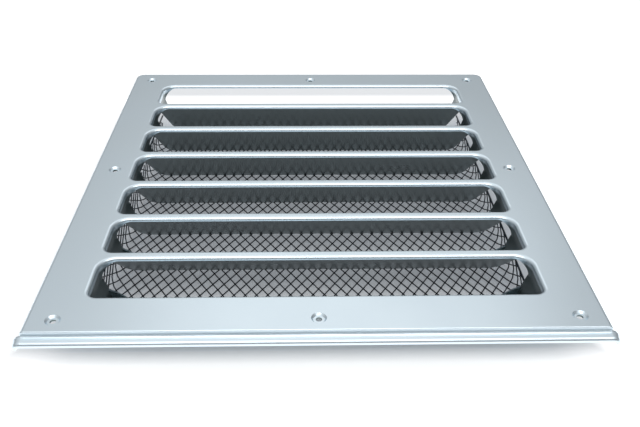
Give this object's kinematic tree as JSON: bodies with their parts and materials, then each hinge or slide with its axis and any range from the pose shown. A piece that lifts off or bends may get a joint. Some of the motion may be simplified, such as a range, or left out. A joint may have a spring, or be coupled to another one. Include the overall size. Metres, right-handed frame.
{
  "type": "louvred vent panel",
  "caption": "Pressed sheet metal cover panel with a row of deep scoop louvres, dished screw seats and a drip ledge, with a mesh screen across the louvres' backs.",
  "frame": {"origin": "centre of the pattern of screw holes, in the plane of the dished seats where the screw heads bear", "axes": "+Z out of the front face, +X to the right along the slots, +Y away from the drip ledge"},
  "size_m": [0.4106, 0.4522, 0.0545],
  "materials": {
    "panel_sheet": "satin, cool silver",
    "mesh_wire": "dark semi-gloss coating"
  },
  "bodies": {
    "root": {"louvre_panel": "panel_sheet", "mesh_screen": "mesh_wire"}
  },
  "joints": []
}
